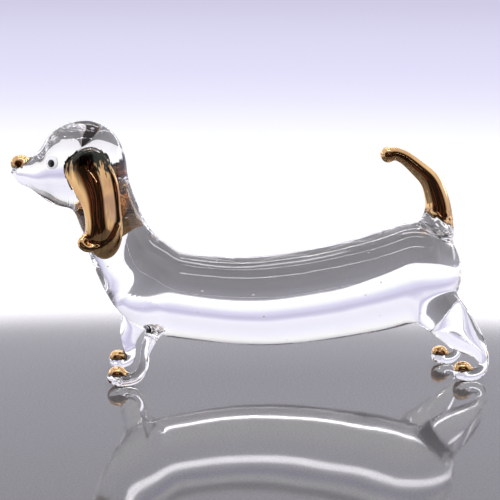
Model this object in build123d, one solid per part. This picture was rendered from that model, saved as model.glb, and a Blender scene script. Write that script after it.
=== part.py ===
from build123d import *
from math import atan2, cos, degrees, pi, radians, sin, sqrt
import os

# A glass dachshund, drawn and fused from solid clear rods at the torch, with gilded ears, nose, toes
# and tail.  One thick rod is bent into the trunk and neck.  A gather makes the head, a drawn tip the
# muzzle, two pressed drops the ears, four rods turned up at the end the legs, and a tapered rod the
# tail.  Each gather is a solid of its own that meets its neighbour face to face.
#
# Millimetres.  +Z is up, the nose points to -X and the dog's left side is -Y.  The origin is on the
# table, under the middle of the outline.

# ---- trunk ---------------------------------------------------------------------------------------

TRUNK_LENGTH = 62.1  # from the shoulder to the back of the rump
WAIST_FROM_SHOULDER = 15.0  # from the shoulder to the lowest point of the rod
BELLY_CLEARANCE = 7.3  # table to belly
BEND_RADIUS = 96.5  # of the rod's centre line
SHOULDER_DEPTH = 18.9
HIP_DEPTH = 21.9
ROUNDNESS = 0.95  # width of trunk and neck over their depth
RUMP_LENGTH = 10.8  # length of the rounded back end
RUMP_FULLNESS = 0.8  # 1 is an ellipsoid, less is squarer

# ---- neck ----------------------------------------------------------------------------------------

NECK_RISE = 29.4  # from the rod's middle at the shoulder up to the middle of the head
NECK_REACH = 22.9  # the same, forwards
CHEST_BEND = 11.0  # how far the rod runs on before it turns up
NAPE_BEND = 20.0  # how far below the head it has turned up
NAPE_LEAN = 17.0  # degrees that the neck leans forwards at the head
NAPE_BACK = 2.4  # how far behind the middle of the head the neck enters it
NAPE_DEPTH = 13.4
NECK_TAPER = (0.10, 0.78)  # shares of the neck's path between which it draws down
COLLAR_AT = 0.46  # share of the neck's path where the trunk's gather ends

# ---- head ----------------------------------------------------------------------------------------

HEAD_LENGTH = 18.4
HEAD_DEPTH = 19.3
HEAD_WIDTH = 16.4
HEAD_TILT = 6.0  # degrees that the nose is lowered
MUZZLE_LENGTH = 5.2  # how far the muzzle stands out of the head
MUZZLE_DEPTH = 8.4  # where it leaves the head
MUZZLE_WIDTH = 6.8
MUZZLE_TIP = 4.6
MUZZLE_DROP = 2.0  # how far its root lies below the middle of the head
MUZZLE_TIP_DROP = 1.1  # the same for its tip
NOSE_LENGTH = 3.8
NOSE_WIDTH = 3.4
NOSE_HEIGHT = 3.2
NOSE_UP = 1.3  # above the middle of the muzzle's tip
EYE_DIAMETER = 3.0
EYE_STANDING = 0.45  # how far the white dot stands out of the head
EYE_FORWARD = 5.6  # ahead of the middle of the head
EYE_UP = 1.3  # above it
PUPIL_DIAMETER = 1.6
PUPIL_STANDING = 0.25  # how far the black dot stands out of the white one

# ---- ears ----------------------------------------------------------------------------------------

EAR_LENGTH = 23.6
EAR_WIDTH = {"left": 10.4, "right": 8.2}  # drawn out by hand, so they differ
EAR_THICKNESS = 3.2
EAR_SEAT = 1.4  # how deep the ear is let into the side of the head
EAR_TOP = 4.4  # above the middle of the head
EAR_BACK = {"left": 2.6, "right": 3.8}  # behind it
EAR_TURN_OUT = 1.8  # how far the lower end is turned out
EAR_SHAPE = [  # share of the length, share of the width, forwards, share of the turn-out
    (0.02, 0.20, -0.4, 0.0),
    (0.10, 0.60, -0.1, 0.15),
    (0.27, 1.00, 0.5, 0.25),
    (0.45, 0.95, -0.7, 0.0),
    (0.62, 0.82, -1.9, -0.3),
    (0.80, 0.88, -1.6, 0.0),
    (0.93, 0.76, -0.8, 0.5),
    (0.99, 0.30, -1.4, 0.8),
]

# ---- tail ----------------------------------------------------------------------------------------

TAIL_RISE = 18.5  # from its root to the middle of its tip
TAIL_SWEEP = 13.6  # how far the tip is carried forwards
TAIL_AHEAD = 5.4  # from the back of the rump forwards to the root
TAIL_SUNK = 3.4  # how deep the root lies in the rod
TAIL_ROOT_DIAMETER = 8.8
TAIL_DIAMETER = 5.2  # where the gilding starts
TAIL_TIP_DIAMETER = 2.9
TAIL_BARE = 0.22  # share of the tail's curve that is clear gather, below the gilding
TAIL_TAPER_END = 0.85  # share of the curve where the tail is down to its tip's diameter
GILDING_SLANT = 29.0  # degrees that the edge of the gilding falls towards the back

# ---- legs ----------------------------------------------------------------------------------------

TRACK = 14.0  # between the middles of the left and right feet
FOOT_DEPTH = 2.6
FOOT_WIDTH = 3.1
SOLE_FLAT = 0.2  # pressed flat on the underside
ANKLE_UP = 2.6  # from the middle of the foot up to the narrowest point of the ankle
ANKLE_DIAMETER = 2.4
TOE_LENGTH = 4.2
TOE_WIDTH = 3.2
TOE_HEIGHT = 2.8
TOE_SEAT = 0.9  # how deep the bead lies in the foot
TOE_ALONG = 0.62  # share of the foot's reach at which the bead sits
SHIN_UP = 4.8  # from the middle of the foot up to where the leg begins to spread
SHIN_DIAMETER = 2.64

# Ahead of the shoulder or behind the rump: where each heel stands.  Then how far its foot reaches
# forwards, how far its ankle bows back, how far its hip lies behind the heel, and the hip's size.
FRONT_HEELS = {
    "left": dict(ahead=11.6, foot=4.6, bow=1.7, hip_back=2.4, hip=7.6),
    "right": dict(ahead=12.4, foot=3.2, bow=1.0, hip_back=-0.2, hip=10.4),
}
REAR_HEELS = {
    "left": dict(behind=2.8, foot=4.6, bow=1.1, hip_back=-8.6, hip=13.0),
    "right": dict(behind=0.8, foot=4.6, bow=1.1, hip_back=-7.0, hip=12.4),
}

# The leg from the rod's middle down: share of the way from heel back to hip, further back, share of
# half the track, below the rod's middle, depth and width as shares of the hip's size.
FRONT_LEG = [
    (1.0, 0.6, 0.66, -0.4, 1.00, 0.70),
    (1.0, 0.3, 0.84, 3.6, 0.85, 0.60),
    (1.0, 0.0, 0.95, 7.2, 0.55, 0.45),
]
REAR_LEG = [
    (1.0, -3.6, 0.62, 3.6, 0.70, 0.55),
    (1.0, 0.0, 0.74, 9.0, 0.78, 0.56),
    (0.5, 0.0, 0.88, 13.2, 0.66, 0.46),
    (0.0, -1.1, 0.97, 16.6, 0.38, 0.30),
]

# The foot from the heel to its tip: share of the reach forwards, share of the ankle's bow, above the
# middle of the foot, depth and width as shares of the foot's.
FOOT = [
    (0.0, 0.4, 0.75, 0.94, 0.84),
    (0.4, 0.0, 0.0, 1.0, 1.0),
    (0.8, 0.0, 0.25, 0.84, 1.0),
    (1.1, 0.0, 0.6, 0.35, 0.5),
]

SIDES = {"left": -1, "right": 1}

# ---- places worked out from the sizes ------------------------------------------------------------

RUMP_X = TRUNK_LENGTH
HIP_X = RUMP_X - RUMP_LENGTH
WAIST_X = WAIST_FROM_SHOULDER


def trunk_depth(x):
    """Thickness of the trunk rod at x, growing evenly from the shoulder to the hip."""
    return SHOULDER_DEPTH + (HIP_DEPTH - SHOULDER_DEPTH) * min(x, HIP_X) / HIP_X


def trunk_middle(x):
    """Height of the trunk rod's centre line at x: a shallow arc that levels off in the rump."""
    waist_middle = BELLY_CLEARANCE + trunk_depth(WAIST_X) / 2
    on_arc = min(x, HIP_X) - WAIST_X
    beyond = max(0.0, x - HIP_X)
    hip_slope = (HIP_X - WAIST_X) / BEND_RADIUS
    levelling = hip_slope * (beyond - beyond**2 / (2 * RUMP_LENGTH))
    return waist_middle + on_arc**2 / (2 * BEND_RADIUS) + levelling


CHEST_Z = trunk_middle(0)
HIP_Z = trunk_middle(HIP_X)
HEAD_X = -NECK_REACH
HEAD_Z = CHEST_Z + NECK_RISE
FOOT_Z = FOOT_DEPTH / 2 - SOLE_FLAT


# ---- ways of working the glass -------------------------------------------------------------------


def gather(x, y, z, length, width, height, pitch=0.0):
    """A round drop of glass about (x, y, z), its nose end lowered by pitch degrees."""
    drop = scale(Sphere(0.5), by=(length, width, height))
    return Pos(x, y, z) * Rot(0, -pitch, 0) * drop


def section(point, along, depth, width):
    """An ellipse about point, square to along.  Depth is measured in the dog's upright plane."""
    square = Plane(origin=point, x_dir=(0, 1, 0), z_dir=along)
    return square * scale(Circle(0.5), by=(width, depth, 1))


def drawn(stations, turn=0):
    """A drawn rod: a loft through sections square to its path, in two runs that join at turn.

    Each station is (point, depth, width).
    """
    points = [Vector(*point) for point, depth, width in stations]
    sections = []
    for i, (point, depth, width) in enumerate(stations):
        along = points[min(i + 1, len(points) - 1)] - points[max(i - 1, 0)]
        sections.append(section(points[i], along, depth, width))
    rod = loft(sections[turn:])
    if turn:
        rod += loft(sections[: turn + 1])
    return rod


def eased(share):
    """A share from 0 to 1 that starts and stops gently."""
    return (1 - cos(pi * min(max(share, 0.0), 1.0))) / 2


# ---- head ----------------------------------------------------------------------------------------

head = gather(HEAD_X, 0, HEAD_Z, HEAD_LENGTH, HEAD_WIDTH, HEAD_DEPTH, HEAD_TILT)


def make_muzzle():
    """The drawn-out tip of the head."""
    root_inside = 2.0
    front_x = HEAD_X - HEAD_LENGTH / 2
    root = (front_x + root_inside, 0, HEAD_Z - MUZZLE_DROP)
    tip = (front_x - MUZZLE_LENGTH + MUZZLE_TIP / 2, 0, HEAD_Z - MUZZLE_TIP_DROP)
    middle = ((root[0] + tip[0]) / 2, 0, root[2])
    root_flare = 1.15
    middle_draw = 0.82
    rod = drawn(
        [
            (root, MUZZLE_DEPTH * root_flare, MUZZLE_WIDTH * root_flare),
            (middle, MUZZLE_DEPTH * middle_draw, MUZZLE_WIDTH * middle_draw),
            (tip, MUZZLE_TIP, MUZZLE_TIP),
        ]
    )
    return rod + gather(*tip, MUZZLE_TIP, MUZZLE_TIP, MUZZLE_TIP) - head


def make_nose():
    """The gilded bead on top of the muzzle's tip, a hair ahead of it."""
    proud = 0.1
    lifted = 10.0
    x = HEAD_X - HEAD_LENGTH / 2 - MUZZLE_LENGTH - proud + NOSE_LENGTH / 2
    z = HEAD_Z - MUZZLE_TIP_DROP + NOSE_UP
    return gather(x, 0, z, NOSE_LENGTH, NOSE_WIDTH, NOSE_HEIGHT, lifted)


def make_eye(side):
    """The white dot and the black dot on one side of the head, square to its surface."""
    forward = 2 * EYE_FORWARD / HEAD_LENGTH
    up = 2 * EYE_UP / HEAD_DEPTH
    cheek = sqrt(1 - forward**2 - up**2)
    facing = degrees(atan2(forward / HEAD_LENGTH, cheek / HEAD_WIDTH))
    place = Pos(HEAD_X - EYE_FORWARD, side * cheek * HEAD_WIDTH / 2, HEAD_Z + EYE_UP)
    place *= Rot(0, 0, side * (90 + facing))
    white = place * scale(Sphere(0.5), by=(2 * EYE_STANDING, EYE_DIAMETER, EYE_DIAMETER)) - head
    place *= Pos(EYE_STANDING, 0, 0)
    black = place * scale(Sphere(0.5), by=(2 * PUPIL_STANDING, PUPIL_DIAMETER, PUPIL_DIAMETER))
    return white, black - white - head


# ---- trunk and neck: one rod, in two gathers -----------------------------------------------------


def neck_path():
    """The centre line of the rod from the shoulder up into the head."""
    start = Vector(0, 0, CHEST_Z)
    end = Vector(HEAD_X + NAPE_BACK, 0, HEAD_Z - NAPE_BACK / 2)
    shoulder_slope = WAIST_X / BEND_RADIUS
    lean = radians(NAPE_LEAN)
    chest = start + Vector(-1, 0, shoulder_slope).normalized() * CHEST_BEND
    nape = end + Vector(sin(lean), 0, -cos(lean)) * NAPE_BEND
    return Bezier(start, chest, nape, end)


def neck_station(path, share):
    """The section of the neck rod at a share of its path."""
    taper_start, taper_end = NECK_TAPER
    drawn_down = eased((share - taper_start) / (taper_end - taper_start))
    depth = SHOULDER_DEPTH + (NAPE_DEPTH - SHOULDER_DEPTH) * drawn_down
    return section(path @ share, -(path % share), depth, ROUNDNESS * depth)


def trunk_station(x, share=1.0):
    """The section of the trunk rod at x, shrunk by share towards the end of the rump."""
    step = 0.5
    depth = trunk_depth(x) * share
    along = Vector(2 * step, 0, trunk_middle(x + step) - trunk_middle(x - step))
    return section(Vector(x, 0, trunk_middle(x)), along, depth, ROUNDNESS * depth)


def make_trunk():
    """The rod from the collar back to the rounded rump."""
    neck_spans = 4
    trunk_spans = 6
    rump_spans = 6
    rump_turn = 0.47 * pi  # the last few degrees are left as a small flat
    path = neck_path()
    rod = [neck_station(path, COLLAR_AT * (1 - i / neck_spans)) for i in range(neck_spans)]
    rod += [trunk_station(HIP_X * i / trunk_spans) for i in range(trunk_spans + 1)]
    for i in range(1, rump_spans + 1):
        turn = rump_turn * i / rump_spans
        rod.append(trunk_station(HIP_X + RUMP_LENGTH * sin(turn), cos(turn) ** RUMP_FULLNESS))
    return loft(rod)


def make_neck():
    """The rod from the head down to the collar."""
    spans = 4
    path = neck_path()
    rod = [neck_station(path, 1 - (1 - COLLAR_AT) * i / spans) for i in range(spans + 1)]
    return loft(rod) - head


trunk = make_trunk()
neck = make_neck()


# ---- ears ----------------------------------------------------------------------------------------


def make_ear(name, side):
    """A drop pressed flat against head and neck, its lower end turned out."""
    sections = []
    for down, wide, forward, outward in EAR_SHAPE:
        x = HEAD_X + EAR_BACK[name] - forward
        y = HEAD_WIDTH / 2 + EAR_THICKNESS / 2 - EAR_SEAT + outward * EAR_TURN_OUT
        z = HEAD_Z + EAR_TOP - EAR_LENGTH * down
        slice_at = Plane(origin=(x, side * y, z))
        long, thick = EAR_WIDTH[name] * wide, EAR_THICKNESS * sqrt(wide)
        sections.append(slice_at * Ellipse(long / 2, thick / 2))
    return loft(sections) - head - neck - trunk


# ---- tail ----------------------------------------------------------------------------------------


def tail_station(share):
    """Point and thickness of the tail at a share of its quarter-ellipse curve."""
    turn = share * pi / 2
    root_x = RUMP_X - TAIL_AHEAD
    root_z = HIP_Z + HIP_DEPTH / 2 - TAIL_SUNK
    point = (root_x - TAIL_SWEEP * (1 - cos(turn)), 0, root_z + TAIL_RISE * sin(turn))
    tapered = (share - TAIL_BARE) / (TAIL_TAPER_END - TAIL_BARE)
    rod = max(TAIL_DIAMETER + (TAIL_TIP_DIAMETER - TAIL_DIAMETER) * tapered, TAIL_TIP_DIAMETER)
    flare = (TAIL_ROOT_DIAMETER - TAIL_DIAMETER) * max(0.0, 1 - share / TAIL_BARE) ** 1.5
    return point, rod + flare, rod + flare


def make_tail():
    """The tail's clear root and its gilded rod with a bead at the tip."""
    bare_spans = 3
    gilded_spans = 9
    stations = [tail_station(TAIL_BARE * i / bare_spans) for i in range(bare_spans)]
    stations += [
        tail_station(TAIL_BARE + (1 - TAIL_BARE) * i / gilded_spans) for i in range(gilded_spans + 1)
    ]
    tip = stations[-1][0]
    bead = 1.1 * TAIL_TIP_DIAMETER
    rod = drawn(stations) + gather(*tip, bead, TAIL_TIP_DIAMETER, bead)
    slant = radians(GILDING_SLANT)
    edge = Plane(origin=stations[bare_spans][0], z_dir=(sin(slant), 0, cos(slant)))
    return split(rod, edge, Keep.BOTTOM) - trunk, split(rod, edge, Keep.TOP)


# ---- legs and toes -------------------------------------------------------------------------------

TABLE_SIZE = 400.0
below_table = Pos(0, 0, -TABLE_SIZE / 2) * Box(TABLE_SIZE, TABLE_SIZE, TABLE_SIZE)


def foot_stations(heel_x, y, reach, bow):
    """The rod from above the ankle down to the heel and forwards to the tip of the foot."""
    ankle_x = heel_x + bow
    stations = [
        ((ankle_x, y, FOOT_Z + SHIN_UP), SHIN_DIAMETER, SHIN_DIAMETER),
        ((ankle_x, y, FOOT_Z + ANKLE_UP), ANKLE_DIAMETER, ANKLE_DIAMETER),
    ]
    for along, bowed, up, depth, width in FOOT:
        point = (heel_x - reach * along + bow * bowed, y, FOOT_Z + up)
        stations.append((point, FOOT_DEPTH * depth, FOOT_WIDTH * width))
    return stations


def make_leg(side, heel_x, rod_z, shape, foot, bow, hip_back, hip):
    """A leg drawn down from the rod's middle at rod_z and turned forwards into its foot."""
    y = side * TRACK / 2
    stations = []
    for along, back, out, down, depth, width in shape:
        point = (heel_x + hip_back * along + back, y * out, rod_z - down)
        stations.append((point, hip * depth, hip * width))
    stations += foot_stations(heel_x, y, foot, bow)
    return drawn(stations, len(shape)) - trunk - below_table


def make_toe(side, heel_x, reach, leg):
    """The gilded bead on the front of a foot."""
    x = heel_x - TOE_ALONG * reach
    z = FOOT_Z + FOOT_DEPTH / 2 + TOE_HEIGHT / 2 - TOE_SEAT
    return gather(x, side * TRACK / 2, z, TOE_LENGTH, TOE_WIDTH, TOE_HEIGHT) - leg


# ---- the pieces ----------------------------------------------------------------------------------

muzzle = make_muzzle()
tail_root, tail = make_tail()
parts = {
    "trunk": trunk,
    "neck": neck,
    "head": head,
    "muzzle": muzzle,
    "nose": make_nose() - muzzle - head,
    "tail_root": tail_root,
    "tail": tail,
}
for name, side in SIDES.items():
    parts[f"ear_{name}"] = make_ear(name, side)
    parts[f"eye_white_{name}"], parts[f"pupil_{name}"] = make_eye(side)
    for end, rod_z, shape, heels in (
        ("front", CHEST_Z, FRONT_LEG, FRONT_HEELS),
        ("rear", HIP_Z, REAR_LEG, REAR_HEELS),
    ):
        sizes = dict(heels[name])
        heel_x = -sizes.pop("ahead") if end == "front" else RUMP_X + sizes.pop("behind")
        leg = make_leg(side, heel_x, rod_z, shape, **sizes)
        parts[f"{end}_leg_{name}"] = leg
        parts[f"{end}_toe_{name}"] = make_toe(side, heel_x, sizes["foot"], leg)

# The figure is moved along X so that its origin is under the middle of its outline.
outline = Compound(children=[shape.solid() for shape in parts.values()]).bounding_box()
to_origin = Pos(-(outline.min.X + outline.max.X) / 2, 0, 0)
os.makedirs("parts", exist_ok=True)
for name, shape in parts.items():
    export_step(to_origin * shape, f"parts/{name}.step")
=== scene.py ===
import math

import bpy
import numpy as np
import openvdb
from mathutils import Matrix, Vector


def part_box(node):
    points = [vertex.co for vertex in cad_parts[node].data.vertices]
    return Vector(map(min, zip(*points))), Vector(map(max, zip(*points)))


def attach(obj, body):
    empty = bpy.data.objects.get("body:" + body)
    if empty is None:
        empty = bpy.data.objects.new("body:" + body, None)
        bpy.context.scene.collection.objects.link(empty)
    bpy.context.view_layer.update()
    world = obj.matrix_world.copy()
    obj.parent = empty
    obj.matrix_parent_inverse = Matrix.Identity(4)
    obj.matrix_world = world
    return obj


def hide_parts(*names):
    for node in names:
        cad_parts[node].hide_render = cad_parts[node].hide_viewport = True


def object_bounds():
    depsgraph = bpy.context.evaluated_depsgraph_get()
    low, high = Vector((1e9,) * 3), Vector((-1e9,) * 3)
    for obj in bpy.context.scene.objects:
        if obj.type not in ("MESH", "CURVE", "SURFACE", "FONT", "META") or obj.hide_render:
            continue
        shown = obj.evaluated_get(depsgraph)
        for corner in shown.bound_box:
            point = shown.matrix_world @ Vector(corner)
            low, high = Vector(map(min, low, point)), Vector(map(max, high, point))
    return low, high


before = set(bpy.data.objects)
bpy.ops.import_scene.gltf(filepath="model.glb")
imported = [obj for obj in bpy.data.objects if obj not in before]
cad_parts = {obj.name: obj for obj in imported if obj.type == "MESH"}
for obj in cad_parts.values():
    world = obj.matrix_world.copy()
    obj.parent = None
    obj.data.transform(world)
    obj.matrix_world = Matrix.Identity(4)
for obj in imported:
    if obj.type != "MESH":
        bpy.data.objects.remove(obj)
cad_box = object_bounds()

# ---- the trunk and neck --------------------------------------------------------------------------
# One solid rod of clear borosilicate glass, about 20 mm thick, heated and bent up into the neck.
# It was left as it flowed: thickest at the hips, thinnest under the head, faintly uneven.

MM = 0.001
ROD_OVAL = 0.95  # width over depth


def corners(node):
    """Lowest and highest corner of a CAD node, in millimetres."""
    low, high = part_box(node)
    return np.array(low) / MM, np.array(high) / MM


def curve_through(rows):
    """A smooth curve through rows of (x, y, z, radius): its length, and a function that gives the
    value, first or second derivative at a distance along it."""
    rows = np.array(rows, float)
    at = np.concatenate([[0], np.cumsum(np.linalg.norm(np.diff(rows[:, :3], axis=0), axis=1))])
    step = np.diff(at)
    count = len(rows)
    matrix = np.eye(count)
    right = np.zeros_like(rows)
    for i in range(1, count - 1):
        matrix[i, i - 1 : i + 2] = step[i - 1], 2 * (step[i - 1] + step[i]), step[i]
        right[i] = 6 * ((rows[i + 1] - rows[i]) / step[i] - (rows[i] - rows[i - 1]) / step[i - 1])
    bend = np.linalg.solve(matrix, right)

    def read(t, order=0):
        i = np.clip(np.searchsorted(at, t, "right") - 1, 0, count - 2)
        h = step[i][:, None]
        a = (at[i + 1] - t)[:, None] / h
        b = 1 - a
        if order == 0:
            curved = ((a**3 - a) * bend[i] + (b**3 - b) * bend[i + 1]) * h * h / 6
            return a * rows[i] + b * rows[i + 1] + curved
        if order == 1:
            return (rows[i + 1] - rows[i]) / h + (
                (3 * b * b - 1) * bend[i + 1] - (3 * a * a - 1) * bend[i]
            ) * h / 6
        return a * bend[i] + b * bend[i + 1]

    return at[-1], read


def drawn_rod(rows, oval=1.0):
    """Distance to a drawn rod with round ends, through rows of (x, y, z, radius).  oval is its
    width along Y over its depth.  A rod that lies in one upright plane is quicker to work out."""
    length, read = curve_through(rows)
    upright = np.ptp([row[1] for row in rows]) == 0
    trial_gap = 0.8
    trials = np.linspace(0, length, int(length / trial_gap) + 12)
    trial_points = read(trials)[:, :3]

    def distance(x, y, z):
        shape = np.broadcast_shapes(x.shape, z.shape if upright else (y + z).shape)
        spread = [np.broadcast_to(v, shape).ravel() for v in (x, z)]
        px, pz = spread
        py = np.full(px.shape, rows[0][1]) if upright else np.broadcast_to(y, shape).ravel()
        nearest = np.full(px.shape, 1e9)
        t = np.zeros(px.shape)
        for trial, (cx, cy, cz) in zip(trials, trial_points):
            gap = (px - cx) ** 2 + (py - cy) ** 2 + (pz - cz) ** 2
            closer = gap < nearest
            nearest = np.where(closer, gap, nearest)
            t = np.where(closer, trial, t)
        for _ in range(3):
            here, slope, turn = read(t)[:, :3], read(t, 1)[:, :3], read(t, 2)[:, :3]
            off = here - np.stack([px, py, pz], 1)
            down = (slope * slope).sum(1) + (off * turn).sum(1)
            moved = (off * slope).sum(1) / np.maximum(down, 0.3)
            t = np.clip(t - np.clip(moved, -trial_gap, trial_gap), 0, length)
        here = read(t)
        cx, cy, cz, radius = [here[:, i].reshape(shape) for i in range(4)]
        return np.sqrt((x - cx) ** 2 + ((y - cy) / oval) ** 2 + (z - cz) ** 2) - radius

    reach = np.array(rows)
    low = (reach[:, :3] - reach[:, 3:]).min(0)
    high = (reach[:, :3] + reach[:, 3:]).max(0)
    return low, high, distance


glass = []  # every gather of the figure, in the order it was fused on: its seam, box and distance
ROOM = 1.2  # a gather's box reaches this far past it and its seam


def fuse(piece, seam):
    """Adds a gather to the figure, with a seam melted over that many millimetres."""
    low, high, distance = piece
    glass.append((seam, low - seam - ROOM, high + seam + ROOM, distance))
    return distance


trunk_low, trunk_high = corners("trunk")
rump_x, belly_z = trunk_high[0], trunk_low[2]
rod = [  # ahead of the rump, above the belly, radius
    (11.1, 16.2, 11.0),
    (18.4, 13.9, 10.9),
    (27.4, 12.0, 10.55),
    (38.7, 10.3, 10.25),
    (49.9, 9.9, 9.8),
    (61.0, 11.0, 9.5),
    (67.7, 12.75, 9.45),
    (71.9, 16.6, 8.9),
    (74.3, 19.8, 8.0),
    (76.7, 24.2, 7.15),
    (78.3, 28.2, 6.8),
    (79.9, 32.7, 6.65),
    (81.6, 37.6, 6.5),
]
fuse(drawn_rod([(rump_x - a, 0, belly_z + up, r) for a, up, r in rod], ROD_OVAL), 1.0)

# ---- the head, muzzle and nose -------------------------------------------------------------------
# The head is a round gather on the end of the rod.  The face was drawn out of it while soft, down to
# a blunt muzzle, and a small bead on top of the muzzle's tip is the nose.


def round_drop(centre, radii, pitch=0.0):
    """Distance to an ellipsoid about centre whose -X end is lowered by pitch degrees."""
    c, s = math.cos(math.radians(pitch)), math.sin(math.radians(pitch))

    def distance(x, y, z):
        dx, dy, dz = x - centre[0], y - centre[1], z - centre[2]
        u, w = dx * c + dz * s, dz * c - dx * s
        scaled = np.sqrt((u / radii[0]) ** 2 + (dy / radii[1]) ** 2 + (w / radii[2]) ** 2)
        steep = np.sqrt(
            (u / radii[0] ** 2) ** 2 + (dy / radii[1] ** 2) ** 2 + (w / radii[2] ** 2) ** 2
        )
        return scaled * (scaled - 1) / np.maximum(steep, 1e-6)

    span = max(radii[0], radii[2])
    reach = np.array([span, radii[1], span])
    return np.array(centre) - reach, np.array(centre) + reach, distance


head_low, head_high = corners("head")
head_middle = (head_low + head_high) / 2
fuse(round_drop(head_middle + (1.1, 0, 0.1), (8.8, 8.2, 9.6), -6.0), 3.0)
tip_x = corners("muzzle")[0][0]
FACE = [  # behind the muzzle's tip, top and underside from the middle of the head, half its width
    (1.3, 0.3, -3.5, 2.0),
    (2.6, 1.15, -4.35, 2.75),
    (4.2, 1.75, -5.3, 3.65),
    (6.0, 3.3, -6.7, 4.65),
    (8.0, 6.3, -8.1, 5.75),
    (10.5, 8.35, -9.05, 7.1),
    (13.0, 9.3, -9.4, 7.95),
]
FACE_STEADY = 0.8  # the face slopes, so its own distance is a little too long


def drawn_face():
    """Distance to the part of the head that narrows into the muzzle."""
    start, length = tip_x + FACE[0][0], FACE[-1][0] - FACE[0][0]
    reads = [curve_through([(row[0], 0, 0, row[i]) for row in FACE]) for i in (1, 2, 3)]

    def distance(x, y, z):
        share = np.clip((x - start) / length, 0, 1)
        top, foot, half = (
            read(share.ravel() * full)[:, 3].reshape(share.shape) for full, read in reads
        )
        middle, deep = head_middle[2] + (top + foot) / 2, (top - foot) / 2
        scaled = np.sqrt(((z - middle) / deep) ** 2 + (y / half) ** 2)
        steep = np.sqrt(((z - middle) / deep**2) ** 2 + (y / half**2) ** 2)
        off = scaled * (scaled - 1) / np.maximum(steep, 1e-6)
        return off * FACE_STEADY + np.abs(x - start - share * length)

    reach = FACE[-1][3] + 2
    low = np.array([start - 1, -reach, head_middle[2] - reach])
    return low, np.array([start + length + 1, reach, head_middle[2] + reach]), distance


fuse(drawn_face(), 0.8)
muzzle_tip = (tip_x + 2.9, 0, head_middle[2] - 1.85)
fuse(round_drop(muzzle_tip, (2.1, 2.0, 2.2)), 1.6)
nose_low, nose_high = corners("nose")
nose_middle = (nose_low + nose_high) / 2 + (0.1, 0, -0.2)
nose = fuse(round_drop(nose_middle, (2.0, 1.8, 1.75), 14.0), 0.9)

# ---- the ears ------------------------------------------------------------------------------------
# Each ear is a long drop pressed on the side of the head, full along its front third and thinning to
# a rim at the back.  The soft lower end was pulled forwards and out into a lip.

EAR_OUTLINE = [  # behind the front edge, above the lower end
    (0.8, 20.0), (2.7, 21.9), (4.6, 23.1), (7.0, 23.0), (8.5, 21.7), (9.6, 20.1), (10.9, 17.6),
    (11.7, 14.9), (12.0, 11.0), (12.3, 7.0), (12.2, 4.2), (11.4, 1.9), (9.9, 0.3), (8.2, 0.0),
    (6.8, 0.7), (5.6, 1.8), (4.6, 3.0), (4.2, 4.4), (4.4, 5.7), (4.4, 8.0), (3.9, 10.8),
    (2.3, 13.9), (1.6, 15.5), (0.8, 17.7),
]
EAR_HANG = [  # above the lower end, how far the middle of its thickness is from the dog's middle
    (-1.0, 9.3), (1.5, 9.1), (6, 8.75), (11, 8.5), (16, 8.15), (20, 7.75), (24.5, 7.0),
]
EAR_EDGE = 0.7  # roundness of its edge
EAR_INNER = 0.9  # how far it goes in behind its middle
EAR_WIDE = 12.0  # the far one was drawn narrower
EAR_SPAN = [  # above the lower end, front and back of the raised part behind the front edge
    (-1.0, 4.2, 11.0), (2.5, 4.1, 11.5), (4.5, 4.1, 11.8), (7.0, 4.3, 11.8), (9.5, 4.0, 11.6),
    (12.5, 3.1, 11.2), (15.5, 1.7, 10.8), (18.5, 0.8, 10.0), (21.5, 1.0, 8.7), (25.0, 2.2, 7.8),
]
EAR_RISE = [  # share of the way from front to back, how far the surface stands out
    (-0.4, -0.8), (-0.2, -0.4), (0.0, 0.3), (0.05, 1.0), (0.1, 1.5), (0.18, 2.05), (0.3, 2.5),
    (0.42, 2.7), (0.52, 2.62), (0.6, 2.32), (0.7, 1.75), (0.8, 1.15), (0.9, 0.55), (0.98, 0.28),
    (1.05, 0.2), (1.15, 0.15), (1.4, 0.0),
]
EAR_LEAN = [  # above the lower end, how far back its crest is moved, 1 for not at all
    (-1.0, 1.0), (4.0, 1.0), (7.0, 1.0), (10.0, 1.1), (13.0, 1.35), (16.0, 1.5), (20.0, 1.4),
    (25.0, 1.2),
]
EAR_SWELL = [  # above the lower end, share of its full thickness there
    (-1.0, 0.3), (3.0, 0.55), (6.0, 0.8), (10, 0.95), (15, 1.0), (19, 0.85), (24.5, 0.4),
]
EAR_LIP = [  # behind the front edge, above the lower end, radius, how far it is pulled out
    (4.2, 4.8, 0.5, 1.0), (3.7, 3.6, 0.75, 1.6), (4.5, 2.7, 0.75, 1.7), (6.4, 2.5, 0.6, 1.3),
    (8.6, 3.2, 0.45, 0.9), (10.4, 4.9, 0.35, 0.5), (11.3, 7.0, 0.3, 0.2),
]
LIP_SEAM = 1.3
STEEPEST = 2.5  # slope beyond which the ear's surface is treated as an edge


def melted(a, b, seam):
    """Two distances run together, with a seam that is rounded over that many millimetres."""
    overlap = np.maximum(seam - np.abs(a - b), 0) / seam
    return np.minimum(a, b) - overlap**3 * seam / 6


def closed_outline(corner_points, count=240):
    """Points evenly along a smooth closed line through the corners."""
    pts = np.array(corner_points + corner_points[:3])
    pts = np.concatenate([np.array(corner_points[-3:]), pts])
    line = [(a, 0, b, 0) for a, b in pts]
    length, read = curve_through(line)
    gaps = np.linalg.norm(np.diff(pts, axis=0), axis=1)
    start, end = gaps[:3].sum(), length - gaps[-2:].sum()
    return read(np.linspace(start, end, count, endpoint=False))[:, [0, 2]]


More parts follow.
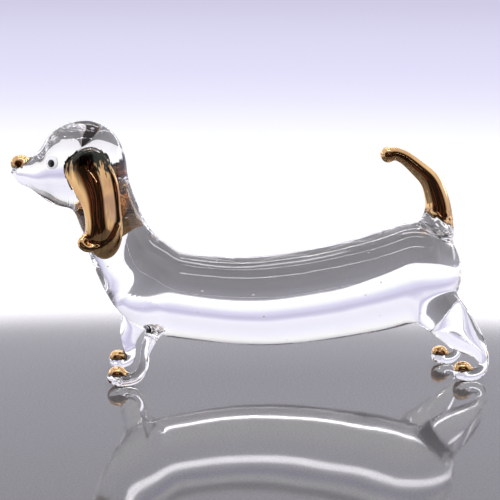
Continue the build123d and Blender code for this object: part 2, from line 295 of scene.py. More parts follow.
def outline_distance(line, x, z):
    """Distance to a closed line in the XZ plane, below zero inside it."""
    shape = np.broadcast_shapes(x.shape, z.shape)
    px, pz = (np.broadcast_to(v, shape).ravel() for v in (x, z))
    nearest = np.full(px.shape, 1e9)
    inside = np.zeros(px.shape, bool)
    for (ax, az), (bx, bz) in zip(line, np.roll(line, -1, 0)):
        ex, ez = bx - ax, bz - az
        wx, wz = px - ax, pz - az
        share = np.clip((wx * ex + wz * ez) / (ex * ex + ez * ez), 0, 1)
        nearest = np.minimum(nearest, (wx - ex * share) ** 2 + (wz - ez * share) ** 2)
        crosses = (az > pz) != (bz > pz)
        with np.errstate(divide="ignore", invalid="ignore"):
            inside ^= crosses & (px < ax + (pz - az) * ex / ez)
    gap = np.sqrt(nearest)
    return np.where(inside, -gap, gap).reshape(shape)


def make_ear(name, side):
    """Box of an ear and distance to it.  side is -1 for the left one and 1 for the right."""
    low, high = corners(f"ear_{name}")
    front, foot = low[0] + 0.05, low[2]
    wide = (high[0] - low[0]) / EAR_WIDE
    line = closed_outline([(front + a * wide, foot + up) for a, up in EAR_OUTLINE])
    hang = curve_through([(up, 0, 0, y) for up, y in EAR_HANG])
    front_of = curve_through([(up, 0, 0, a) for up, a, b in EAR_SPAN])
    back_of = curve_through([(up, 0, 0, b) for up, a, b in EAR_SPAN])
    lean = curve_through([(up, 0, 0, power) for up, power in EAR_LEAN])
    swell = curve_through([(up, 0, 0, share) for up, share in EAR_SWELL])
    rise = curve_through([(10 * share, 0, 0, out) for share, out in EAR_RISE])

    def along(curve, value, start):
        """What a curve of (place, value) rows that begins at start gives at a place."""
        flat = np.clip(value.ravel() - start, 0, curve[0])
        return curve[1](flat)[:, 3].reshape(value.shape)

    def height(x, z):
        """How far the outer face stands out from the middle of the ear's thickness."""
        level = z - foot
        front_x = front + along(front_of, level, EAR_SPAN[0][0]) * wide
        back_x = front + along(back_of, level, EAR_SPAN[0][0]) * wide
        share = (x - front_x) / (back_x - front_x)
        share = np.sign(share) * np.abs(share) ** along(lean, level, EAR_LEAN[0][0])
        return along(rise, 10 * share, 10 * EAR_RISE[0][0]) * along(swell, level, EAR_SWELL[0][0])

    lip = drawn_rod([(front + a * wide, out, foot + up, r) for a, up, r, out in EAR_LIP])[2]

    def distance(x, y, z):
        off = side * y - along(hang, z - foot, EAR_HANG[0][0])
        out = height(x, z)
        step = 0.05
        slope = np.hypot(height(x + step, z) - out, height(x, z + step) - out) / step
        face = (off - out) / np.sqrt(1 + np.minimum(slope, STEEPEST) ** 2)
        around = outline_distance(line, x, z)
        cut = melted(-face, -around, EAR_EDGE * 2)
        shape = -melted(cut, off + EAR_INNER, EAR_EDGE)
        return melted(shape, lip(x, off, z), LIP_SEAM)

    ends = sorted((side * 5.5, side * 12.0))
    box_low = np.array([front - 1, ends[0], foot - 1.5])
    box_high = np.array([front + 14, ends[1], foot + 25])
    return box_low, box_high, distance


ears = {name: fuse(make_ear(name, side), 0.8) for name, side in (("left", -1), ("right", 1))}

# ---- the tail ------------------------------------------------------------------------------------
# A tapered rod stuck on the rump, swept up and forwards, and cut off so that its tip ran into a
# bead.  Its root was marked by the tweezers that held it, which left clear, broken-looking lumps.

tail_low, tail_high = corners("tail")
tail_top, tail_tip = tail_high[2], tail_low[0]
tail_path = [  # behind the tip's front, below the top, radius
    (1.65, 1.55, 1.5),
    (2.7, 1.45, 1.45),
    (5.8, 2.65, 1.5),
    (8.4, 4.75, 1.73),
    (10.9, 7.15, 2.02),
    (12.4, 10.2, 2.4),
    (13.2, 13.4, 2.85),
    (13.2, 16.1, 3.5),
    (12.6, 19.4, 4.4),
    (11.6, 22.4, 4.6),
]
tail = drawn_rod([(tail_tip + b, 0, tail_top - down, r) for b, down, r in tail_path])
fuse(tail, 2.0)
tail_bead = round_drop((tail_tip + 1.6, 0, tail_top - 1.7), (1.6, 1.7, 1.68))
fuse(tail_bead, 0.6)
root_low, root_high = corners("tail_root")
LUMPS = [  # share of the root's length, from the dog's middle, share of the root's height, radius
    (0.30, -1.9, 0.58, 1.35),
    (0.50, -2.3, 0.40, 1.4),
    (0.35, 2.0, 0.50, 1.3),
]
LUMP_FLAT, LUMP_TURN = 0.8, 25  # height over width, and degrees of tilt for each millimetre out
for along_root, y, up, size in LUMPS:
    lump = (
        root_low[0] + along_root * (root_high[0] - root_low[0]),
        y,
        root_low[2] + up * (root_high[2] - root_low[2]),
    )
    fuse(round_drop(lump, (size, size, size * LUMP_FLAT), LUMP_TURN * y), 0.45)

# ---- the legs and toes ---------------------------------------------------------------------------
# Each leg is a short rod fused under the body, drawn thin at the ankle and turned forwards into a
# foot.  The two near legs and the two far legs were bent by hand and differ.  A bead is a toe.

LEGS = {  # behind the toe's middle, share of the way out to the toe, height, radius
    "front_leg_left": [
        (10.0, 0.50, 18.5, 2.6), (8.4, 0.70, 14.4, 2.2), (6.9, 0.88, 10.8, 1.55),
        (5.6, 0.99, 7.6, 1.1), (5.25, 1.0, 5.3, 1.0), (4.8, 1.0, 3.5, 1.1), (3.5, 1.0, 1.95, 1.25),
        (1.4, 1.0, 1.4, 1.4), (-0.7, 1.0, 1.45, 1.4), (-1.5, 1.0, 1.75, 1.2),
    ],
    "front_leg_right": [
        (6.0, 0.62, 16.6, 5.0), (3.9, 0.80, 12.6, 3.5), (2.5, 0.90, 9.4, 2.5),
        (2.0, 0.97, 6.4, 1.75), (2.2, 1.0, 4.0, 1.3), (1.9, 1.0, 2.2, 1.3), (0.4, 1.0, 1.4, 1.35),
        (-0.9, 1.0, 1.45, 1.3), (-1.5, 1.0, 1.8, 1.1),
    ],
    "rear_leg_left": [
        (-9.0, 0.52, 19.5, 5.6), (-5.8, 0.62, 15.7, 5.3), (-3.6, 0.72, 13.5, 4.8),
        (-1.0, 0.84, 10.8, 4.2), (1.9, 0.94, 8.0, 2.85), (3.7, 1.0, 5.6, 1.55),
        (4.15, 1.0, 4.2, 1.15), (3.6, 1.0, 2.3, 1.15), (2.0, 1.0, 1.45, 1.35), (0.2, 1.0, 1.4, 1.4),
        (-1.2, 1.0, 1.65, 1.25),
    ],
    "rear_leg_right": [
        (-8.4, 0.50, 19.0, 5.6), (-5.6, 0.60, 15.4, 5.0), (-2.9, 0.72, 12.6, 4.0),
        (0.1, 0.86, 9.4, 2.8), (2.4, 0.96, 6.9, 1.8), (3.7, 1.0, 4.7, 1.25), (3.4, 1.0, 2.5, 1.15),
        (2.0, 1.0, 1.45, 1.35), (0.2, 1.0, 1.4, 1.4), (-1.2, 1.0, 1.65, 1.25),
    ],
}
LEG_SEAM = {"front": 3.0, "rear": 1.2}  # the heavy haunches meet the body at a sharper crease
TOE, TOE_PITCH, TOE_SEAM = (1.85, 1.65, 1.45), -8.0, 1.3  # radii, degrees it dips forwards, seam
toes, toe_spots = {}, []
for name, rows in LEGS.items():
    toe_name = name.replace("leg", "toe")
    toe_low, toe_high = corners(toe_name)
    toe_middle = (toe_low + toe_high) / 2
    toe_spots.append(toe_middle)
    leg = [(toe_middle[0] + b, toe_middle[1] * share, z, r) for b, share, z, r in rows]
    fuse(drawn_rod(leg), LEG_SEAM[name.split("_")[0]])
    toe = round_drop(toe_middle + (-0.5, 0, -0.25), TOE, TOE_PITCH)
    toes[toe_name] = fuse(toe, TOE_SEAM)

# ---- the clear skin of the whole figure ----------------------------------------------------------
# All those gathers are one piece of glass once fused, so they share one closed skin.  The colour is
# the faint lavender of a clean rod, with flow marks from the torch and a few trapped seeds of air.

CELL = 0.34  # millimetres between the points of the skin
FAR = 6.0  # distance given to places that no gather comes near
SOLE, SOLE_EDGE = 0.12, 0.25  # height at which the feet are pressed flat, and roundness there
TOOTH, BITE = 2 * math.pi / 1.7, 0.13  # how close together and how deep the tweezers marked it
FOOT_MARKS, FOOT_FADE = 2.6, 1.0  # how far the marks reach round a foot, and over what they fade
ROOT_MARKS, ROOT_FADE = 4.8, 1.5  # the same round the tail's root
WAVES = [(31.0, 0.05), (23.0, 0.04), (16.0, 0.02), (11.0, 0.01), (7.0, 0.004)]  # length, height
random = np.random.default_rng(11)
waves = [
    (random.normal(size=3) * 2 * math.pi / span, random.uniform(0, 2 * math.pi), height)
    for span, height in WAVES
]


def finished(distance, x, y, z):
    """The faint unevenness of hand-drawn glass, tool marks, and the soles pressed flat."""
    for pull, phase, height in waves:
        distance = distance + height * np.sin(pull[0] * x + pull[1] * y + pull[2] * z + phase)
    bites = np.sin(TOOTH * x + 0.6 * z) * np.sin(0.8 * TOOTH * z + 0.5 * y + 1)
    bites = bites * np.cos(0.7 * TOOTH * y)
    at_feet = 0.0
    for toe_x, toe_y, _ in toe_spots:
        off_toe = np.sqrt((x - toe_x + 0.8) ** 2 + (y - toe_y) ** 2 + (2 * z - 1.4) ** 2)
        at_feet = np.maximum(at_feet, np.clip((FOOT_MARKS - off_toe) / FOOT_FADE, 0, 1))
    root = (root_low + root_high) / 2 - (0, 0, 0.8)
    off_root = np.sqrt((x - root[0]) ** 2 + (y - root[1]) ** 2 + ((z - root[2]) * 1.3) ** 2)
    at_root = np.clip((ROOT_MARKS - off_root) / ROOT_FADE, 0, 1)
    distance = distance + BITE * bites * np.maximum(at_feet, at_root)
    return -melted(-distance, z - SOLE, SOLE_EDGE)


def skin_distance(points):
    """Distance from each point to the skin, below zero inside the glass."""
    x, y, z = points.T
    total = np.full(len(points), FAR)
    for seam, low, high, distance in glass:
        near = ((points > low) & (points < high)).all(1)
        total[near] = melted(total[near], distance(x[near], y[near], z[near]), seam)
    return finished(total, x, y, z)


def skin_slope(points):
    """Which way the distance grows, so the way that the skin faces."""
    step = 0.02
    offsets = np.array([(1, -1, -1), (-1, -1, 1), (-1, 1, -1), (1, 1, 1)]) * step
    return sum(o * skin_distance(points + o)[:, None] for o in offsets) / (4 * step**2)


def onto_skin(points, rounds=2):
    """The points moved along the slope until they lie on the skin."""
    for _ in range(rounds):
        slope = skin_slope(points)
        away = skin_distance(points)[:, None]
        move = away * slope / np.maximum((slope**2).sum(1), 0.2)[:, None]
        points = points - np.clip(move, -CELL / 2, CELL / 2)
    return points


AROUND = 2  # millimetres of room round the whole figure
box_low = np.array(cad_box[0]) / MM - AROUND
box_high = np.array(cad_box[1]) / MM + AROUND
axes = [np.arange(a, b, CELL) for a, b in zip(box_low, box_high)]
block = np.full([len(a) for a in axes], FAR)
for seam, low, high, distance in glass:
    spans = [slice(*np.searchsorted(a, (lo, hi))) for a, lo, hi in zip(axes, low, high)]
    part = [a[s] for a, s in zip(axes, spans)]
    own = distance(part[0][:, None, None], part[1][None, :, None], part[2][None, None, :])
    block[tuple(spans)] = melted(block[tuple(spans)], own, seam)
block = finished(block, axes[0][:, None, None], axes[1][None, :, None], axes[2][None, None, :])
grid = openvdb.FloatGrid(1.0)
grid.copyFromArray(np.clip(block, -1, 1).astype(np.float32))
points, quads = grid.convertToQuads(isovalue=0)
skin_points = onto_skin(points.astype(float) * CELL + box_low)
skin_faces = quads.astype(int)
fan = skin_points[skin_faces]
volume = np.einsum("ij,ij->", fan[:, 0], np.cross(fan[:, 1], fan[:, 2]))
if volume < 0:
    skin_faces = skin_faces[:, ::-1]
skin_normals = skin_slope(skin_points)
skin_normals /= np.linalg.norm(skin_normals, axis=1)[:, None]


def make_mesh(name, vertices, faces, normals=None, numbers=None):
    """A smooth mesh from millimetres, with a named number at each point where numbers gives it."""
    mesh = bpy.data.meshes.new(name)
    mesh.from_pydata((np.array(vertices) * MM).tolist(), [], [list(f) for f in faces])
    mesh.shade_smooth()
    for label, values in (numbers or {}).items():
        mesh.attributes.new(label, "FLOAT", "POINT").data.foreach_set(
            "value", np.array(values, np.float32)
        )
    if normals is not None:
        mesh.normals_split_custom_set_from_vertices([tuple(n) for n in normals])
    made = bpy.data.objects.new(name, mesh)
    bpy.context.scene.collection.objects.link(made)
    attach(made, "root")
    return made


SEEDS = 46
SEED_SMALL, SEED_MORE = 0.07, 0.16  # radius of the smallest, and how much bigger the largest are
SEED_DEEP = 1.6  # how far below the skin they stay
SIDES = 8
ball = []  # a small ball of three rings and two poles
for turn in range(SIDES):
    for rise in (-0.7, 0.0, 0.7):
        a = 2 * math.pi * (turn + 0.5 * (rise == 0.0)) / SIDES
        ball.append((math.cos(a) * math.cos(rise), math.sin(a) * math.cos(rise), math.sin(rise)))
ball = np.array(ball + [(0, 0, -1.0), (0, 0, 1.0)])
ball_faces = []
foot_pole, top_pole = 3 * SIDES, 3 * SIDES + 1
for turn in range(SIDES):
    a, b = 3 * turn, 3 * ((turn + 1) % SIDES)
    ball_faces += [(a, a + 1, b), (b, a + 1, b + 1), (a + 1, b + 2, b + 1), (a + 1, a + 2, b + 2)]
    ball_faces += [(a, b, foot_pole), (b + 2, a + 2, top_pole)]
ball_faces = np.array(ball_faces)  # a seed is a hole in the glass, so its faces look inwards
seed_points, seed_faces = [], []
while len(seed_points) < SEEDS:
    spot = random.uniform(trunk_low - (8, 0, 0), trunk_high + (0, 0, 20))
    size = SEED_SMALL + SEED_MORE * random.random() ** 3
    if skin_distance(spot[None])[0] > -SEED_DEEP:
        continue
    seed_faces.append(ball_faces + len(seed_points) * len(ball))
    seed_points.append(spot + ball * size * (random.uniform(1.0, 2.2), 1.0, 1.0))
seed_faces = np.concatenate(seed_faces) + len(skin_points)
seed_points = np.concatenate(seed_points)
seed_normals = -np.tile(ball, (SEEDS, 1))
figure = make_mesh(
    "clear_figure",
    np.concatenate([skin_points, seed_points]),
    skin_faces.tolist() + seed_faces.tolist(),
    np.concatenate([skin_normals, seed_normals]),
)
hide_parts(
    "trunk", "neck", "head", "muzzle", "tail_root",
    "front_leg_left", "front_leg_right", "rear_leg_left", "rear_leg_right",
)


class Finish:
    """A material whose nodes are added one at a time, each joined to what feeds it."""

    def __init__(self, name):
        self.material = bpy.data.materials.new(name)
        self.material.use_nodes = True
        self.tree = self.material.node_tree
        self.shader = self.tree.nodes["Principled BSDF"]

    def add(self, kind, settings=None, **inputs):
        node = self.tree.nodes.new(kind)
        for key, value in (settings or {}).items():
            setattr(node, key, value)
        for key, value in inputs.items():
            self.join(value, node, key)
        return node

    def join(self, value, node, key):
        """Feeds an input, given by its name or by its number as _0, _1 and so on."""
        place = int(key[1:]) if key[1:].isdigit() else key.replace("_", " ")
        socket = node.inputs[place]
        if isinstance(value, bpy.types.NodeSocket):
            self.tree.links.new(value, socket)
        else:
            socket.default_value = value

    def surface(self, **inputs):
        for key, value in inputs.items():
            self.join(value, self.shader, key)


clear = Finish("clear_glass")
place = clear.add("ShaderNodeTexCoord").outputs["Object"]
flow = clear.add("ShaderNodeTexNoise", Vector=place, Scale=220.0, Detail=3.0, Roughness=0.45)
flow_marks = clear.add(
    "ShaderNodeBump", Strength=0.06, Distance=0.0004, Height=flow.outputs["Fac"]
)
tint = clear.add("ShaderNodeValToRGB", Fac=flow.outputs["Fac"])
tint.color_ramp.elements[0].color = (0.975, 0.97, 0.985, 1)
tint.color_ramp.elements[1].color = (1, 1, 1, 1)
clear.surface(
    Base_Color=tint.outputs["Color"],
    Roughness=0.0,
    IOR=1.47,
    Transmission_Weight=1.0,
    Normal=flow_marks.outputs["Normal"],
)
figure.data.materials.append(clear.material)

# ---- the gilding ---------------------------------------------------------------------------------
# Bright-gold lustre: a film brushed on the ears, nose, toes and tail and fired on.  It is thin and
# mirror-bright, with brush streaks, and it feathers out at its edges.

FILM = 0.035  # millimetres either side of the glass surface, thick enough to draw
PAST = -0.6  # cover at which the film itself stops, where the brush strokes have all thinned out
gold = Finish("gold_lustre")
place = gold.add("ShaderNodeTexCoord").outputs["Object"]
stretched = gold.add("ShaderNodeMapping", Vector=place, Scale=(1500.0, 1500.0, 200.0))
brush = gold.add(
    "ShaderNodeTexNoise", Vector=stretched.outputs["Vector"], Scale=1.0, Detail=2.0, Roughness=0.5
)
patches = gold.add("ShaderNodeTexNoise", Vector=place, Scale=190.0, Detail=2.0)
cover = gold.add("ShaderNodeAttribute", {"attribute_name": "cover"}).outputs["Fac"]
starved = gold.add("ShaderNodeAttribute", {"attribute_name": "starved"}).outputs["Fac"]
ragged = gold.add(
    "ShaderNodeMath", {"operation": "MULTIPLY_ADD"}, _0=brush.outputs["Fac"], _1=2.4, _2=cover
).outputs["Value"]
full = gold.add("ShaderNodeMapRange", Value=ragged, From_Min=1.3, From_Max=1.55)
thick = gold.add("ShaderNodeMapRange", Value=ragged, From_Min=1.4, From_Max=2.3)
dryness = gold.add("ShaderNodeMath", {"operation": "MULTIPLY"}, _0=starved, _1=2.7).outputs[0]
dry = gold.add(
    "ShaderNodeMath", {"operation": "MULTIPLY_ADD"}, _0=brush.outputs["Fac"], _1=4.0, _2=dryness
).outputs["Value"]
laid = gold.add("ShaderNodeMapRange", Value=dry, From_Min=3.1, From_Max=3.5, To_Min=1.0, To_Max=0.0)
tone = gold.add("ShaderNodeValToRGB", Fac=patches.outputs["Fac"])
tone.color_ramp.elements[0].color = (0.60, 0.35, 0.16, 1)
tone.color_ramp.elements[0].position = 0.3
tone.color_ramp.elements[1].color = (0.80, 0.52, 0.25, 1)
tone.color_ramp.elements[1].position = 0.7
body_share = gold.add(
    "ShaderNodeMath", {"operation": "MULTIPLY"}, _0=thick.outputs["Result"], _1=laid.outputs["Result"]
)
edge_tone = gold.add(
    "ShaderNodeMix",
    {"data_type": "RGBA"},
    _0=body_share.outputs["Value"],
    _6=(0.035, 0.04, 0.034, 1),
    _7=tone.outputs["Color"],
)
streaks = gold.add(
    "ShaderNodeBump", Strength=0.015, Distance=0.0002, Height=brush.outputs["Fac"]
)
gloss = gold.add(
    "ShaderNodeMapRange", Value=patches.outputs["Fac"], From_Min=0.3, From_Max=0.7,
    To_Min=0.03, To_Max=0.08,
)
gold.surface(
    Base_Color=edge_tone.outputs[2],
    Metallic=1.0,
    Roughness=gloss.outputs["Result"],
    Alpha=full.outputs["Result"],
    Normal=streaks.outputs["Normal"],
)


def gild(name, node, cover, starved=None):
    """A film over the skin that ends a little past where cover is zero, closed round its edge.
    starved is how short of gold the brush had run, from 0 to 1."""
    kept = (cover[skin_faces] > PAST).all(1)
    faces = skin_faces[kept]
    used, compact = np.unique(faces, return_inverse=True)
    faces = compact.reshape(faces.shape)
    count = len(used)
    outer = skin_points[used] + skin_normals[used] * FILM
    inner = skin_points[used] - skin_normals[used] * FILM
    edges = np.concatenate([faces[:, [i, (i + 1) % 4]] for i in range(4)])
    keys = {tuple(e) for e in edges.tolist()}
    rim = [e for e in keys if (e[1], e[0]) not in keys]
    sides = [(b, a, a + count, b + count) for a, b in rim]
    every_face = faces.tolist() + (faces[:, ::-1] + count).tolist() + sides
    normals = np.concatenate([skin_normals[used], -skin_normals[used]])
    film = make_mesh(
        name,
        np.concatenate([outer, inner]),
        every_face,
        normals,
        {
            "cover": np.tile(cover[used], 2),
            "starved": np.zeros(2 * count) if starved is None else np.tile(starved[used], 2),
        },
    )
    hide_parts(node)
    film.data.materials.append(gold.material)


EAR_SIDE = 4  # an ear's film stays this far out from the dog's middle
EAR_FEATHER = 6.5  # length of the ragged, starved strokes at the top of the ear
STARVED = {"left": 1.0, "right": 0.4}  # how short of gold the brush ran at the top
TOP_MORE, TOP_THINS = 0.3, 0.8  # how much wider and how gradually the brush went there
BARE_TOP = {"left": 0.0, "right": 4.2}  # the far ear was gilded less high up
BRUSHED = {  # how far past its gather the gold goes, and how fast it thins out per millimetre
    "ear": (0.45, 3), "toe": (0.5, 3), "nose": (0.9, 1.6), "tail": (0.6, 3),
}
x, y, z = skin_points.T
past, thins = BRUSHED["ear"]
for name, ear in ears.items():
    side = {"left": -1, "right": 1}[name]
    near = side * y > EAR_SIDE
    top = corners(f"ear_{name}")[1][2] - BARE_TOP[name]
    high = np.clip((z - top + EAR_FEATHER) / EAR_FEATHER, 0, 1)
    cover_ear = np.full(len(x), -9.0)
    cover_ear[near] = (past + TOP_MORE * high[near] - ear(x[near], y[near], z[near])) * thins
    cover_ear = np.minimum(cover_ear, (top - z) * TOP_THINS)
    gild(f"gilt_ear_{name}", f"ear_{name}", cover_ear, high * STARVED[name])
past, thins = BRUSHED["toe"]
for toe_name, toe in toes.items():
    toe_low, toe_high = corners(toe_name)
    above_foot = (z - (toe_low[2] + toe_high[2]) / 2 + 0.8) * 2
    gild(f"gilt_{toe_name}", toe_name, np.minimum(above_foot, (past - toe(x, y, z)) * thins))
past, thins = BRUSHED["nose"]
above_chin = (z - nose_middle[2] + 1.0) * 1.5
gild("gilt_nose", "nose", np.minimum((past - nose(x, y, z)) * thins, above_chin))
past, thins = BRUSHED["tail"]
slant = math.radians(32)  # the gold ends on a slant, where the tail leaves its root
edge_x, edge_z = tail_low[0] + 10.3, tail_top - 14.2
above_edge = (z - edge_z) * math.cos(slant) + (x - edge_x) * math.sin(slant)
on_tail = (past - melted(tail[2](x, y, z), tail_bead[2](x, y, z), 0.5)) * thins
gild("gilt_tail", "tail", np.minimum(above_edge * 2, on_tail))

# ---- the eyes ------------------------------------------------------------------------------------
# A dot of white glass on each side of the head with a smaller black dot on it, both melted down
# to low domes.

DOT_ROOT = 0.12  # how far a dot goes into the glass


def melted_dot(name, node, middle, radius, base, height, turns=40, rings=10):
    """A low dome standing on the skin, base above it at its foot."""
    centre = onto_skin(np.array([middle]), 6)[0]
    normal = skin_slope(centre[None])[0]
    normal /= np.linalg.norm(normal)
    across = np.cross(normal, (0, 0, 1.0))
    across /= np.linalg.norm(across)
    up = np.cross(across, normal)
    spots, lifts = [centre], [base + height]
    for ring in range(1, rings + 1):
        share = ring / rings
        for turn in range(turns):
            a = 2 * math.pi * turn / turns
            spots.append(centre + radius * share * (across * math.cos(a) + up * math.sin(a)))
            lifts.append(base + height * math.sqrt(max(0.0, 1 - share**2)))
    spots = onto_skin(np.array(spots), 3)
    slopes = skin_slope(spots)
    slopes /= np.linalg.norm(slopes, axis=1)[:, None]
    top = spots + slopes * np.array(lifts)[:, None]
    under = spots - slopes * DOT_ROOT
    count = len(spots)
    faces = []
    for shift, turned in ((0, False), (count, True)):
        ring_faces = [(0, 1 + i, 1 + (i + 1) % turns) for i in range(turns)]
        for ring in range(rings - 1):
            a, b = 1 + ring * turns, 1 + (ring + 1) * turns
            ring_faces += [
                (a + i, b + i, b + (i + 1) % turns, a + (i + 1) % turns) for i in range(turns)
            ]
        faces += [tuple(v + shift for v in (f[::-1] if turned else f)) for f in ring_faces]
    last = 1 + (rings - 1) * turns
    faces += [
        (last + (i + 1) % turns, last + i, last + i + count, last + (i + 1) % turns + count)
        for i in range(turns)
    ]
    dot = make_mesh(name, np.concatenate([top, under]), faces)
    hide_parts(node)
    return dot


def dot_glass(name, low_colour, high_colour, scale, rough):
    finish = Finish(name)
    spot = finish.add("ShaderNodeTexCoord").outputs["Object"]
    cloud = finish.add("ShaderNodeTexNoise", Vector=spot, Scale=scale, Detail=3.0)
    ramp = finish.add("ShaderNodeValToRGB", Fac=cloud.outputs["Fac"])
    ramp.color_ramp.elements[0].color = low_colour
    ramp.color_ramp.elements[1].color = high_colour
    dimple = finish.add(
        "ShaderNodeBump", Strength=0.1, Distance=0.0001, Height=cloud.outputs["Fac"]
    )
    finish.surface(
        Base_Color=ramp.outputs["Color"],
        Roughness=rough,
        IOR=1.5,
        Coat_Weight=0.5,
        Normal=dimple.outputs["Normal"],
    )
    return finish.material


white_glass = dot_glass("white_glass", (0.93, 0.93, 0.95, 1), (1.0, 1.0, 1.0, 1), 900.0, 0.08)
black_glass = dot_glass("black_glass", (0.004, 0.004, 0.005, 1), (0.02, 0.018, 0.02, 1), 900.0, 0.05)
for name in ("left", "right"):
    low, high = corners(f"eye_white_{name}")
    white = melted_dot(
        f"white_dot_{name}", f"eye_white_{name}", (low + high) / 2, radius=1.45, base=0.16, height=0.4
    )
    white.data.materials.append(white_glass)
    low, high = corners(f"pupil_{name}")
    black = melted_dot(
        f"black_dot_{name}", f"pupil_{name}", (low + high) / 2, radius=0.8, base=0.5, height=0.22
    )
    black.data.materials.append(black_glass)

# ---- the table, light and camera -----------------------------------------------------------------
# The figure stands on a plain satin table in front of a pale backdrop, lit by soft light from behind
# and above and by a low window.  The room on the camera's side is dim, with thin lamps overhead and
# some warm-coloured clutter, which only the mirror-bright surfaces show.

TABLE_END, TABLE_BACK, TABLE_FRONT = 105, 84.0, -84.0
TABLE_TURN = math.radians(-5.0)
table_points = []
for level, inset in ((0.0, 1.0), (-1.0, 0.0), (-14.0, 0.0)):
    for corner_x, corner_y in (
        (-TABLE_END, TABLE_FRONT), (TABLE_END, TABLE_FRONT),
        (TABLE_END, TABLE_BACK), (-TABLE_END, TABLE_BACK),
    ):
        a = corner_x - math.copysign(inset, corner_x)
        b = corner_y - math.copysign(inset, corner_y)
        turned_x = a * math.cos(TABLE_TURN) - b * math.sin(TABLE_TURN)
        turned_y = a * math.sin(TABLE_TURN) + b * math.cos(TABLE_TURN)
        table_points.append((turned_x, turned_y, level))
table_faces = [(0, 1, 2, 3), (11, 10, 9, 8)]
for level in range(2):
    for i in range(4):
        a, b = level * 4 + i, level * 4 + (i + 1) % 4
        table_faces.append((b, a, a + 4, b + 4))
mesh = bpy.data.meshes.new("table")
mesh.from_pydata([tuple(v * MM for v in p) for p in table_points], [], table_faces)
table = bpy.data.objects.new("table", mesh)
bpy.context.scene.collection.objects.link(table)
satin = Finish("table_satin")
place = satin.add("ShaderNodeTexCoord").outputs["Object"]
grain = satin.add("ShaderNodeTexNoise", Vector=place, Scale=2200.0, Detail=2.0)
shade = satin.add("ShaderNodeValToRGB", Fac=grain.outputs["Fac"])
shade.color_ramp.elements[0].color = (0.12, 0.117, 0.12, 1)
shade.color_ramp.elements[0].position = 0.35
shade.color_ramp.elements[1].color = (0.155, 0.15, 0.155, 1)
shade.color_ramp.elements[1].position = 0.65
satin.surface(Base_Color=shade.outputs["Color"], Roughness=0.06, IOR=1.55)
mesh.materials.append(satin.material)

world = bpy.data.worlds.new("room")
bpy.context.scene.world = world
world.use_nodes = True
room = world.node_tree
for node in list(room.nodes):
    room.nodes.remove(node)


def add(kind, settings=None, **inputs):
    """A node of the room's light, its inputs named or numbered as _0, _1 and so on."""
    node = room.nodes.new(kind)
    for key, value in (settings or {}).items():
        setattr(node, key, value)
    for key, value in inputs.items():
        socket = node.inputs[int(key[1:]) if key[1:].isdigit() else key.replace("_", " ")]
        if isinstance(value, bpy.types.NodeSocket):
            room.links.new(value, socket)
        else:
            socket.default_value = value
    return node


def maths(operation, first, second=0.0, third=0.0):
    """What a sum of up to three values or outputs gives."""
    return add("ShaderNodeMath", {"operation": operation}, _0=first, _1=second, _2=third).outputs[0]


direction = add("ShaderNodeTexCoord").outputs["Generated"]
parts = add("ShaderNodeSeparateXYZ", Vector=direction).outputs
up, back = parts["Z"], parts["Y"]
backdrop = add("ShaderNodeValToRGB", Fac=maths("MULTIPLY_ADD", up, 0.5, 0.5))
ramp = backdrop.color_ramp
ramp.elements[0].position = 0.0
ramp.elements[0].color = (0.45, 0.43, 0.46, 1)
ramp.elements[1].position = 1.0
ramp.elements[1].color = (0.80, 0.78, 0.86, 1)
for position, colour in (
    (0.30, (0.85, 0.84, 0.88, 1)),
    (0.37, (1.0, 1.0, 1.0, 1)),
    (0.43, (1.0, 1.0, 1.0, 1)),
    (0.447, (0.91, 0.92, 0.95, 1)),
    (0.4615, (0.76, 0.75, 0.89, 1)),
    (0.472, (0.69, 0.67, 0.86, 1)),
    (0.483, (0.65, 0.635, 0.81, 1)),
    (0.4985, (0.56, 0.53, 0.70, 1)),
    (0.515, (0.60, 0.58, 0.75, 1)),
    (0.54, (0.86, 0.85, 0.94, 1)),
    (0.60, (0.82, 0.81, 0.90, 1)),
    (0.66, (0.85, 0.84, 0.95, 1)),
    (0.80, (1.0, 1.0, 1.0, 1)),
):
    ramp.elements.new(position).color = colour

# How far round to the front a direction is.  Mirrored light finds it dark there, but less so overhead.
front = add(
    "ShaderNodeMapRange", {"interpolation_type": "SMOOTHSTEP"},
    Value=maths("MULTIPLY", back, -1.0), From_Min=0.25, From_Max=0.6,
).outputs["Result"]
low_front = add(
    "ShaderNodeMapRange", {"interpolation_type": "SMOOTHSTEP"},
    Value=up, From_Min=0.55, From_Max=0.85, To_Min=1.0, To_Max=0.25,
).outputs["Result"]
dim = maths("MULTIPLY", front, low_front)

# The thin lamps overhead and the low window behind, which only show where they are mirrored.
angle = maths("ARCTAN2", up, maths("MULTIPLY", back, -1.0))
LAMP_HALF = 0.32  # half the length of a lamp, seen from the figure
LAMPS = [  # degrees up from the front, half its width in degrees, brightness
    (17.0, 0.5, 4.0), (69.0, 0.9, 14.0), (98.0, 0.8, 13.0), (128.0, 1.2, 13.0),
]
overhead = maths("LESS_THAN", maths("ABSOLUTE", parts["X"]), LAMP_HALF)
lamps = None
for degrees_up, half_width, bright in LAMPS:
    off = maths("ABSOLUTE", maths("SUBTRACT", angle, math.radians(degrees_up)))
    lamp = maths("MULTIPLY", maths("LESS_THAN", off, math.radians(half_width)), bright)
    lamps = lamp if lamps is None else maths("ADD", lamps, lamp)
lamps = maths("MULTIPLY", lamps, overhead)
WINDOW_BRIGHT, ROOM_BRIGHT = 3.2, 1.12
window_top = add(
    "ShaderNodeMapRange", {"interpolation_type": "SMOOTHSTEP"},
    Value=up, From_Min=0.226, From_Max=0.242, To_Min=1.0, To_Max=0.0,
).outputs["Result"]
window_foot = add(
    "ShaderNodeMapRange", {"interpolation_type": "SMOOTHSTEP"},
    Value=up, From_Min=0.12, From_Max=0.16, To_Min=0.0, To_Max=1.0,
).outputs["Result"]
behind = maths("GREATER_THAN", back, 0.35)
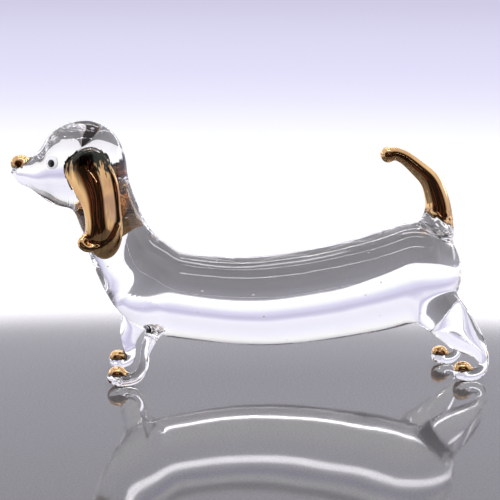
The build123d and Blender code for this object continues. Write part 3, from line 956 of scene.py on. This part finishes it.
window = maths("MULTIPLY", maths("MULTIPLY", window_top, window_foot), behind)
lamps = maths("MULTIPLY_ADD", window, WINDOW_BRIGHT, lamps)
path = add("ShaderNodeLightPath").outputs
mirrored = maths("GREATER_THAN", path["Glossy Depth"], 0.5)
dark_share = maths("MULTIPLY", dim, mirrored)

# The dark front of the room, with upright streaks of warm clutter.
upright = add("ShaderNodeMapping", Vector=direction, Scale=(16.0, 16.0, 2.6))
clutter = add("ShaderNodeTexNoise", Vector=upright.outputs[0], Scale=1.0, Detail=1.0).outputs["Fac"]
warm = add(
    "ShaderNodeMapRange", Value=clutter, From_Min=0.58, From_Max=0.66, To_Min=0.0, To_Max=1.0
).outputs["Result"]
DARK_WALL, WARM_CLUTTER = (0.012, 0.011, 0.012, 1), (0.21, 0.075, 0.055, 1)
DARK_SIDES = (0.10, 0.095, 0.10, 1)
dark_room = add(
    "ShaderNodeMix", {"data_type": "RGBA"}, _0=warm, _6=DARK_WALL, _7=WARM_CLUTTER
).outputs[2]
dim_room = add(
    "ShaderNodeMix", {"data_type": "RGBA"},
    _0=dark_share, _6=backdrop.outputs["Color"], _7=dark_room,
).outputs[2]

# Light that comes through the glass from far to the sides is dim too.
sideways = add(
    "ShaderNodeMapRange", {"interpolation_type": "SMOOTHSTEP"},
    Value=maths("ABSOLUTE", parts["X"]), From_Min=0.7, From_Max=0.9, To_Min=0.0, To_Max=0.85,
).outputs["Result"]
unmirrored = maths("SUBTRACT", 1.0, mirrored)
through = maths("MULTIPLY", maths("MULTIPLY", sideways, unmirrored), path["Is Transmission Ray"])
dim_room = add(
    "ShaderNodeMix", {"data_type": "RGBA"}, _0=through, _6=dim_room, _7=DARK_SIDES
).outputs[2]

glow = maths("MULTIPLY", lamps, mirrored)
lamp_light = add("ShaderNodeBackground", Color=(1, 0.98, 1.0, 1), Strength=glow)
room_light = add("ShaderNodeBackground", Color=dim_room, Strength=ROOM_BRIGHT)
both = add("ShaderNodeAddShader", _0=room_light.outputs[0], _1=lamp_light.outputs[0])
add("ShaderNodeOutputWorld", Surface=both.outputs[0])

look_at = Vector((-0.55, 0.0, 28.68)) * MM
CAMERA_AWAY = 0.300  # metres
azimuth, elevation, roll = math.radians(-5.0), math.radians(10.75), math.radians(0.5)
back_to_camera = Vector(
    (
        math.sin(azimuth) * math.cos(elevation),
        -math.cos(azimuth) * math.cos(elevation),
        math.sin(elevation),
    )
)
lens = bpy.data.cameras.new("camera")
lens.sensor_width = 36.0
lens.lens = 97.6
lens.clip_start = 0.01
lens.clip_end = 10.0
camera = bpy.data.objects.new("camera", lens)
bpy.context.scene.collection.objects.link(camera)
facing = back_to_camera.to_track_quat("Z", "Y").to_matrix().to_4x4()
camera.matrix_world = (
    Matrix.Translation(look_at + back_to_camera * CAMERA_AWAY)
    @ facing
    @ Matrix.Rotation(roll, 4, "Z")
)
bpy.context.scene.camera = camera
bpy.context.scene.view_settings.view_transform = "Standard"
bpy.context.scene.cycles.max_bounces = 24
bpy.context.scene.cycles.transmission_bounces = 20
bpy.context.scene.cycles.glossy_bounces = 12
